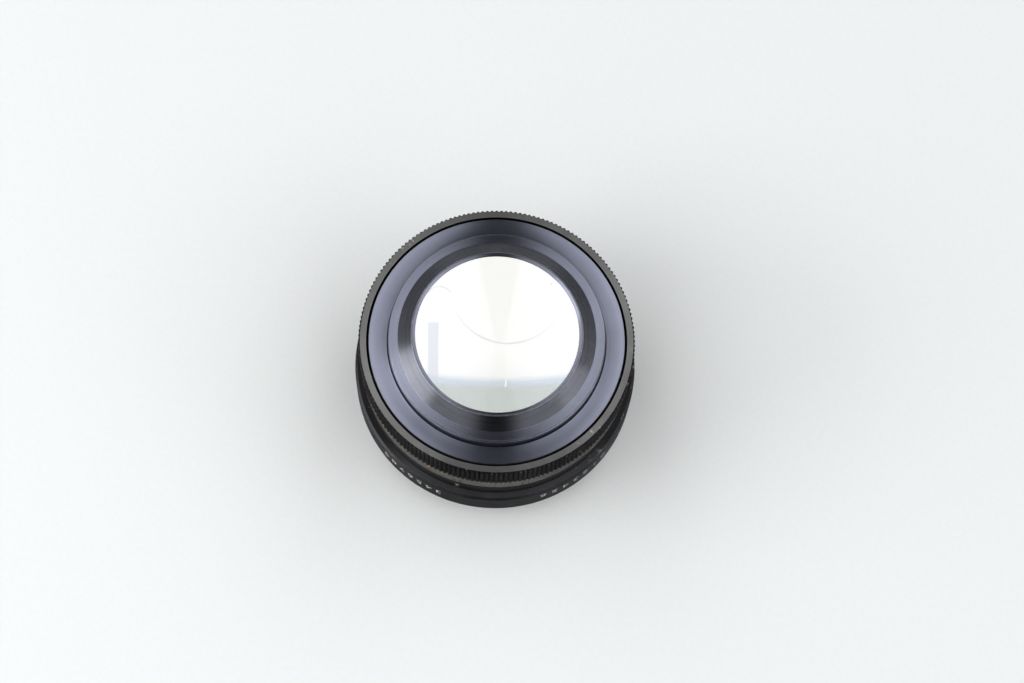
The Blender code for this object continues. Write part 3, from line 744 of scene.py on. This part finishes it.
# radius, height, fillet, material index
knurl_rows = [(KNURL_TIP_R, z, 0.0, 1) for z in (25.66, 25.2, 24.0, 22.0, 20.0, 18.2)]
grip_profile = [
    (28.22, FACE_HEIGHT, 0.08, 0), (29.58, FACE_HEIGHT, 0.03, 1), (29.82, 25.85, 0.0, 1),
    *knurl_rows,
    (29.98, 17.75, 0.0, 1), (29.65, KNURL_LOW, 0.05, 1), (28.9, KNURL_LOW, 0.05, 1),
    (28.6, 17.4, 0.0, 1), (28.6, 12.9, 0.08, 1), (27.4, 12.9, 0.08, 1),
    (27.4, 24.1, 0.06, 1), (28.2, 24.1, 0.06, 1),
]
GRIP_SHARP_ANGLE = 50.0
grip = turned("grip_body", "grip_ring", grip_profile, [GRIP_FACE, KNURL],
              body="aperture_ring", seg=KNURL_TEETH * POINTS_PER_TOOTH, shape=knurl,
              sharp=GRIP_SHARP_ANGLE)
cut(grip, sleeve_holes, sharp=GRIP_SHARP_ANGLE)


def scale_holes(bm):
    for angle in SCREW_ANGLES:
        add_spoke(bm, 0.72, angle, 28.2, 30.4, RING_SCREW_HEIGHT)


scale = turned("scale_body", "scale_ring", [
    (29.42, 17.2, 0.06), (SCALE_R, 17.02, 0.05), (SCALE_R, 12.93, 0.05), (29.42, 12.75, 0.06),
    (28.9, 12.75, 0.06), (28.9, 17.2, 0.06),
], [SATIN], body="aperture_ring")
cut(scale, scale_holes)


def bevelled_pin(name, node, angle, r_in, r_out, height, radius, seg, bevel, mat, body):
    bm = bmesh.new()
    add_spoke(bm, radius, angle, r_in, r_out, height, seg)
    rims = [e for e in bm.edges if e.calc_face_angle(0) > 1.0]
    bmesh.ops.bevel(bm, geom=rims, offset=bevel * MM, segments=3, affect="EDGES", profile=0.5)
    finish(name, bm, [mat], node, body)


bevelled_pin("drive_pin_body", "drive_pin", PIN_ANGLE, r_in=24.8, r_out=28.4, height=PIN_HEIGHT,
             radius=0.45, seg=28, bevel=0.07, mat=STEEL, body="aperture_ring")


# ------------------------------------------------------------------ engraved numbers
SUNK = 0.03                   # depth of the filling below the surface
DIGIT_HEIGHT = 0.72           # height of a numeral at font size 1


def numerals(text, angle, height, z, mat, radius=SCALE_R, bold=0.0):
    """Numerals wrapped on a cylinder, their tops towards the rear of the lens."""
    proud = 0.022
    curve = bpy.data.curves.new("numerals", "FONT")
    curve.body = text
    curve.size = 1.0
    curve.align_x = "CENTER"
    curve.align_y = "CENTER"
    curve.offset = bold
    curve.resolution_u = 4
    curve.extrude = 0.05
    flat = bpy.data.objects.new("numerals", curve)
    bpy.context.scene.collection.objects.link(flat)
    bpy.context.view_layer.update()
    depsgraph = bpy.context.evaluated_depsgraph_get()
    mesh = bpy.data.meshes.new_from_object(flat.evaluated_get(depsgraph))
    bpy.data.objects.remove(flat, do_unlink=True)
    bm = bmesh.new()
    bm.from_mesh(mesh)
    bmesh.ops.remove_doubles(bm, verts=bm.verts, dist=1e-5)
    zoom = height / DIGIT_HEIGHT
    for vert in bm.verts:
        around = math.radians(angle) - vert.co.x * zoom / radius
        r = radius + (proud if vert.co.z > 0 else -SUNK)
        vert.co = Vector((r * math.cos(around), r * math.sin(around),
                          z - vert.co.y * zoom + SEAT_Z)) * MM
    return bm, mat


def tick(angle, z_low, z_high, width, mat):
    """Short line along the axis on the scale ring, filled with paint."""
    proud, steps = 0.02, 3
    section = [(SCALE_R - SUNK, z_low), (SCALE_R + proud, z_low),
               (SCALE_R + proud, z_high), (SCALE_R - SUNK, z_high)]
    bm = bmesh.new()
    rows = []
    for i in range(steps + 1):
        around = math.radians(angle) + (i / steps - 0.5) * width / SCALE_R
        rows.append([bm.verts.new(Vector((r * math.cos(around), r * math.sin(around),
                                          z + SEAT_Z)) * MM) for r, z in section])
    skin(bm, rows)
    return bm, mat


def join(name, marks, body):
    """Puts (bmesh, material) marks into one piece."""
    mats = []
    total = bmesh.new()
    for bm, mat in marks:
        if mat not in mats:
            mats.append(mat)
        for face in bm.faces:
            face.material_index = mats.index(mat)
        mesh = bpy.data.meshes.new("mark")
        bm.to_mesh(mesh)
        bm.free()
        total.from_mesh(mesh)
        bpy.data.meshes.remove(mesh)
    finish(name, total, mats, body=body)


def scale_marks():
    """Two rows of numerals on either side of the index, with a tick after each."""
    lower = {"height": 1.35, "z": 13.85, "bold": 0.006}
    upper = {"height": 1.15, "z": 15.85, "bold": 0.004}
    stops = ("5.6", "8", "11", "16", "22", "32")
    factors = ("1", "2", "4", "8", "16", "32")
    marks = []
    for i, (stop, factor) in enumerate(zip(stops, factors)):
        angle = INDEX_ANGLE - STOP_STEP * i
        marks.append(numerals(stop, angle, mat=INK, **lower))
        marks.append(numerals(factor, angle, mat=ORANGE, **upper))
        if i < STOP_COUNT - 1:
            between = angle - STOP_STEP / 2
            marks.append(tick(between, 13.45, 13.75, width=0.9, mat=INK))
            marks.append(tick(between, 15.7, 15.95, width=0.7, mat=ORANGE))
    second_lower = ("1", "1.2", "1.5", "2", "2.5", "3")
    second_upper = ("1", "1.4", "2", "4", "6", "9")
    gap = 16.0                # from the index to the first numeral of the second scale
    for i, (low_text, high_text) in enumerate(zip(second_lower, second_upper)):
        angle = INDEX_ANGLE + gap + STOP_STEP * i
        between = angle + STOP_STEP / 2
        marks.append(numerals(low_text, angle, mat=INK, **lower))
        marks.append(numerals(high_text, angle, mat=INK, **upper))
        marks.append(tick(between, 13.45, 13.7, width=0.9, mat=ORANGE if i % 2 else INK))
        marks.append(tick(between, 15.7, 15.92, width=0.6, mat=INK))
    return marks


def collar_marks():
    """Two rows of single numerals round the collar."""
    marks = []
    # text, angle of the first numeral, step
    for text, first, step in (("9876543", 220.0, 4.4), ("0123456", 320.0, -5.0)):
        for i, char in enumerate(text):
            marks.append(numerals(char, first + step * i, height=2.4, z=5.1, mat=WHITE,
                                  radius=COLLAR_R))
    return marks


join("scale_numbers", scale_marks(), "aperture_ring")
join("collar_numbers", collar_marks(), "barrel")
bevelled_pin("index_dot", "index_mark", INDEX_ANGLE, r_in=28.9, r_out=FLANGE_R,
             height=INDEX_HEIGHT, radius=0.52, seg=32, bevel=0.08, mat=OLIVE,
             body="barrel")

# ------------------------------------------------------------------ front cell and nose
# The dish is a quarter sine from the rim down to the bore.
DISH_OUTER, DISH_INNER, DISH_DEPTH, DISH_STEPS = 27.72, 23.85, 0.84, 22
dish = [(DISH_OUTER - (DISH_OUTER - DISH_INNER) * t,
         FACE_HEIGHT - DISH_DEPTH * math.sin(t * math.pi / 2), 0.0, 0)
        for t in [i / DISH_STEPS for i in range(1, DISH_STEPS)]]

# radius, height, fillet, material index
turned("front_cell_body", "front_cell", [
    (23.8, 25.16, 0.05, 0), (23.8, 20.9, 0.1, 1), (26.0, 20.9, 0.1, 1), (26.0, 24.4, 0.1, 1),
    (27.85, 24.4, 0.1, 1), (27.76, 25.9, 0.05, 1), (27.66, FACE_HEIGHT, 0.03, 0), *dish,
], [DISH_LIT, SHADE])

# SHADE fills two slots: index 3 is unused, 4 is the inside
# indices 5 and 6 carry painted shade on the step wall and its foot
turned("front_nose_body", "front_nose", [
    (18.38, 30.6, 0.04, 2), (18.54, 30.50, 0.03, 1), (21.36, 28.50, 0.04, 0),
    (21.44, 28.42, 0.03, 0), (23.22, 28.40, 0.05, 2), (23.38, 28.24, 0.05, 5),
    (23.38, 27.86, 0.05, 5), (23.08, 27.66, 0.04, 5), (23.08, 27.16, 0.04, 5),
    (23.42, 27.05, 0.04, 6), (23.60, 26.88, 0.05, 6), (23.60, 24.0, 0.05, 6),
    (23.4, 23.8, 0.05, 6), (23.4, 20.9, 0.1, 4), (19.3, 20.9, 0.1, 4), (19.3, 29.4, 0.05, 4),
    (17.66, 29.9, 0.03, 4), (17.60, 30.30, 0.04, 0), (18.20, 30.6, 0.03, 2),
], [VIOLET, CONE, EDGE, SHADE, SHADE, WALL_SHADED, FOOT_SHADED], seg=320)


# ------------------------------------------------------------------ glass
def sag(r, curve):
    """Depth of a sphere of radius |curve| at r, with the sign of the curve."""
    size = abs(curve)
    depth = size - math.sqrt(size * size - r * r)
    return depth if curve > 0 else -depth


def lens_element(name, node, r, top, top_curve, bottom, bottom_curve, mat):
    """Ground lens: two spherical faces and a blackened edge."""
    rings, chamfer = 28, 0.12
    radii = [r * i / rings * 0.995 for i in range(rings + 1)]
    profile = [(radius, top - sag(radius, top_curve), 0) for radius in radii]
    profile += [(r, top - sag(r, top_curve) - chamfer, 1),
                (r, bottom + sag(r, bottom_curve) + chamfer, 1)]
    profile += [(radius, bottom + sag(radius, bottom_curve), 0) for radius in reversed(radii)]
    finish(name, lathe(profile, seg=192, closed=False), [mat, SHADE], node,
           sharp=30)


# name, node, radius, top apex, top curve, bottom apex, bottom curve, material
for element in (
    ("front_glass_1", "front_element", 18.9, 32.2, 56.0, 26.4, 400.0, GLASS),
    ("front_glass_2", "front_inner_element", 19.0, 24.5, 300.0, 22.9, -180.0, INNER_GLASS),
    ("rear_glass_1", "rear_inner_element", 18.0, 10.0, -120.0, 7.4, 300.0, INNER_GLASS),
    ("rear_glass_2", "rear_element", 18.0, 2.9, 300.0, -5.2, 75.0, GLASS),
):
    lens_element(*element)


# ------------------------------------------------------------------ inner rings
def ring_section(outer, inner, high, low, fillet=0.05):
    """Rectangular ring profile."""
    return [(outer, high, fillet), (outer, low, fillet),
            (inner, low, fillet), (inner, high, fillet)]


rear_cell_profile = [(22.0, 12.7, 0.1), (22.0, -5.0, 0.1), (16.8, -5.0, 0.05),
                     (16.8, -4.5, 0.05), (18.3, -3.3, 0.05), (18.3, 12.7, 0.1)]
for name, node, profile in (
    ("front_spacer_body", "front_spacer", ring_section(19.0, 17.9, 26.0, 24.9)),
    ("front_ring_body", "front_retaining_ring", ring_section(19.0, 17.9, 21.5, 20.9)),
    ("iris_cover_body", "iris_cover", ring_section(26.0, 18.0, 20.6, 20.0)),
    ("rear_cell_body", "rear_cell", rear_cell_profile),
    ("rear_spacer_body", "rear_spacer", ring_section(18.0, 17.0, 6.9, 3.2)),
    ("rear_ring_body", "rear_retaining_ring", ring_section(18.0, 17.0, 12.6, 11.9)),
):
    turned(name, node, profile, [SHADE], seg=160)


def spanner_slots(bm):
    for angle in (0.0, 180.0):
        add_block(bm, shift_to(*polar(20.75, angle), -5.85), (3.2, 1.6, 0.5))


lock_ring = turned("rear_lock_body", "rear_lock_ring",
                   ring_section(22.0, 19.5, -5.3, -5.9, fillet=0.06), [BLACK])
cut(lock_ring, spanner_slots)

# ------------------------------------------------------------------ iris blades
BLADE_HALF_THICKNESS = 0.03
# rise of a blade for each mm along its x and y
BLADE_RISE_X, BLADE_RISE_Y = polar(0.07, 148.0)


def blade_rise(x, y):
    return BLADE_RISE_X * (x - PIVOT_R) + BLADE_RISE_Y * y


def blade_outline():
    """Crescent about the lens axis with a round tip and a round eye at the pivot."""
    inner, outer, tip_angle, tip_length, eye = 17.5, 25.3, 88.5, 3.2, 0.95

    def arc(radius, start, stop, count=46):
        return [polar(radius, start + (stop - start) * i / (count - 1)) for i in range(count)]

    points = arc(inner, 12.0, tip_angle)
    middle, half = (inner + outer) / 2, (outer - inner) / 2
    for step in range(1, 8):
        angle = math.radians(180 + 180 * step / 8)
        points.append(polar(middle + half * math.cos(angle),
                            tip_angle - tip_length * math.sin(angle)))
    points += arc(outer, tip_angle, 4.0)
    points += [(PIVOT_R + eye * math.cos(math.radians(a)), eye * math.sin(math.radians(a)))
               for a in range(60, -111, -17)]
    return points


def iris_blade(number, outline):
    angle = 360.0 * (number - 1) / BLADE_COUNT
    place = (shift_to(*polar(PIVOT_R, angle), PIVOT_HEIGHT)
             @ Matrix.Rotation(math.radians(angle), 4, "Z"))
    bm = bmesh.new()
    low, high = [[bm.verts.new(((x - PIVOT_R) * MM, y * MM, (blade_rise(x, y) + side) * MM))
                  for x, y in outline]
                 for side in (-BLADE_HALF_THICKNESS, BLADE_HALF_THICKNESS)]
    bm.faces.new(high)
    bm.faces.new(low[::-1])
    for k in range(len(outline)):
        k2 = (k + 1) % len(outline)
        bm.faces.new((low[k], low[k2], high[k2], high[k]))
    bmesh.ops.transform(bm, matrix=place, verts=bm.verts)
    bmesh.ops.triangulate(bm, faces=[f for f in bm.faces if len(f.verts) > 4])
    blade = finish(f"blade_leaf_{number}", bm, [BLADE, STEEL],
                   f"iris_blade_{number}", f"blade_{number}")

    def studs(tool):
        """Two round studs that reach down from the blade."""
        for x, y in ((PIVOT_R, 0.0), polar(22.9, 18.0)):
            add_cylinder(tool, 0.4, (x - PIVOT_R, y, 15.75 - PIVOT_HEIGHT),
                         (x - PIVOT_R, y, blade_rise(x, y) + 0.05), 20)
        bmesh.ops.transform(tool, matrix=place, verts=tool.verts)

    cut(blade, studs, "UNION")


leaf_outline = blade_outline()
for number in range(1, BLADE_COUNT + 1):
    iris_blade(number, leaf_outline)

# ------------------------------------------------------------------ carried-over nodes
for node in ("cam_ring", "pivot_ring"):
    mesh = NODES[node].data
    mesh.materials.clear()
    mesh.materials.append(SHADE)
    for polygon in mesh.polygons:
        polygon.material_index = 0


# ------------------------------------------------------------------ click ball and spring
def click_ball():
    bm = bmesh.new()
    bmesh.ops.create_icosphere(bm, subdivisions=4, radius=0.65 * MM,
                               matrix=shift_to(*polar(CLICK_R, CLICK_ANGLE), 12.05))
    finish("click_ball_body", bm, [STEEL], "detent_ball", "click_ball")


def click_spring():
    """Open coil of round wire, standing upright under the ball."""
    turns, steps_per_turn, wire_seg = 5, 28, 10
    coil_r, wire_r = 0.62, 0.11
    low, high = 9.47, 11.08
    x, y = polar(CLICK_R, CLICK_ANGLE)
    up = Vector((0, 0, 1))
    bm = bmesh.new()
    rings = []
    for i in range(turns * steps_per_turn + 1):
        angle = math.tau * i / steps_per_turn
        z = low + (high - low) * i / (turns * steps_per_turn)
        centre = Vector((x + coil_r * math.cos(angle), y + coil_r * math.sin(angle), z + SEAT_Z))
        radial = Vector((math.cos(angle), math.sin(angle), 0.0))
        ring = []
        for k in range(wire_seg):
            around = math.tau * k / wire_seg
            offset = (radial * math.cos(around) + up * math.sin(around)) * wire_r
            ring.append(bm.verts.new((centre + offset) * MM))
        rings.append(ring)
    bm.faces.new(rings[0])
    for a, b in zip(rings, rings[1:]):
        for k in range(wire_seg):
            k2 = (k + 1) % wire_seg
            bm.faces.new((a[k], a[k2], b[k2], b[k]))
    bm.faces.new(rings[-1][::-1])
    coil = finish("click_spring_body", bm, [STEEL], "detent_spring")
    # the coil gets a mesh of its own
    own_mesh(coil)


click_ball()
click_spring()


# ------------------------------------------------------------------ floor
def floor_material():
    """Pale floor with a glowing disc under the lens; clear when seen from below."""
    m = new_material("floor")
    coords = m.object_coords()
    x, y, _ = m.split(coords)
    grain = m.noise(coords, scale=900.0, detail=3.0)
    colour = m.mix(m.ramp(grain, span=(0.3, 0.7)), (0.630, 0.640, 0.636), (0.642, 0.652, 0.648))
    shader = m.principled(colour, roughness=0.6, metallic=0.0,
                          normal=m.bump(grain, strength=0.02, distance=0.00005))
    disc = m.fall(m.length(x, y), span=(0.0214, 0.0220))
    glow = 1.05
    m.feed(shader.inputs["Emission Color"], (1.0, 1.0, 1.0))
    m.feed(shader.inputs["Emission Strength"], m.multiply(disc, glow))
    geometry = m.node("ShaderNodeNewGeometry")
    clear = m.node("ShaderNodeBsdfTransparent")
    return m.surface(m.mix_shader(geometry.outputs["Backfacing"], shader.outputs[0],
                                  clear.outputs[0]))


def make_floor():
    material = floor_material()
    bm = bmesh.new()
    bmesh.ops.create_grid(bm, x_segments=8, y_segments=8, size=2.5)
    mesh = bpy.data.meshes.new("floor")
    bm.to_mesh(mesh)
    bm.free()
    mesh.materials.append(material)
    floor = bpy.data.objects.new("floor", mesh)
    floor.location = (0, 0, -0.00005)         # just below the lens, in metres
    bpy.context.scene.collection.objects.link(floor)


# ------------------------------------------------------------------ world, lights, camera
def make_world():
    """Bright to both sides and above, a low bright patch at +Y, an even backdrop for the camera."""
    world = bpy.data.worlds.new("studio")
    bpy.context.scene.world = world
    w = Graph(world, "ShaderNodeOutputWorld")
    x, y, z = w.split(w.node("ShaderNodeTexCoord").outputs["Generated"])
    across = w.node("ShaderNodeMath", {0: x}, operation="ABSOLUTE").outputs[0]
    sides = w.ramp(across, span=(0.13, 0.36), out=(0.05, 2.0))
    height = w.ramp(z, span=(0.26, 0.52), out=(0.15, 1.0))
    far = w.ramp(y, span=(0.80, 0.95), out=(0.0, 0.9))
    low = w.fall(z, span=(0.08, 0.28))
    strength = w.add(w.multiply(sides, height), w.multiply(far, low))
    light = w.node("ShaderNodeBackground", {"Color": (0.98, 0.99, 1.0), "Strength": strength})
    backdrop = w.node("ShaderNodeBackground", {"Color": (0.80, 0.82, 0.81), "Strength": 1.0})
    path = w.node("ShaderNodeLightPath")
    w.surface(w.mix_shader(path.outputs["Is Camera Ray"], light.outputs[0], backdrop.outputs[0]))


def softbox(name, place, width, height, watts):
    """Rectangular light aimed at the lens; sizes and place in metres."""
    aim = Vector((0, 0, 0.02))
    data = bpy.data.lights.new(name, "AREA")
    data.shape = "RECTANGLE"
    data.size, data.size_y = width, height
    data.energy = watts
    light = bpy.data.objects.new(name, data)
    light.location = place
    light.rotation_euler = (aim - Vector(place)).to_track_quat("-Z", "Y").to_euler()
    bpy.context.scene.collection.objects.link(light)


def make_camera():
    """Looks down at the front face, tilted towards -Y and turned slightly to -X."""
    distance = 0.487          # metres
    tilt, yaw = math.radians(17.7), math.radians(1.1)
    data = bpy.data.cameras.new("camera")
    data.sensor_width = 36.0
    data.lens = 79.171875
    data.clip_start = 0.01
    data.shift_x = 0.01484375
    data.shift_y = -0.00185546875
    camera = bpy.data.objects.new("camera", data)
    target = Vector((0.0, 0.0, FACE_Z * MM))
    camera.location = target + Vector((-math.sin(yaw), -math.sin(tilt) * math.cos(yaw),
                                       math.cos(tilt) * math.cos(yaw))) * distance
    ahead = (target - camera.location).normalized()
    right = ahead.cross(Vector((0.0, 1.0, 0.0))).normalized()
    upward = right.cross(ahead)
    camera.rotation_euler = Matrix((right, upward, -ahead)).transposed().to_euler()
    bpy.context.scene.collection.objects.link(camera)
    bpy.context.scene.camera = camera


make_floor()
make_world()
softbox("softbox_left", (-0.68, -0.14, 0.30), width=0.50, height=0.30, watts=3.0)
softbox("softbox_right", (0.66, -0.22, 0.34), width=0.36, height=0.24, watts=0.7)
make_camera()
bpy.context.scene.view_settings.view_transform = "Standard"
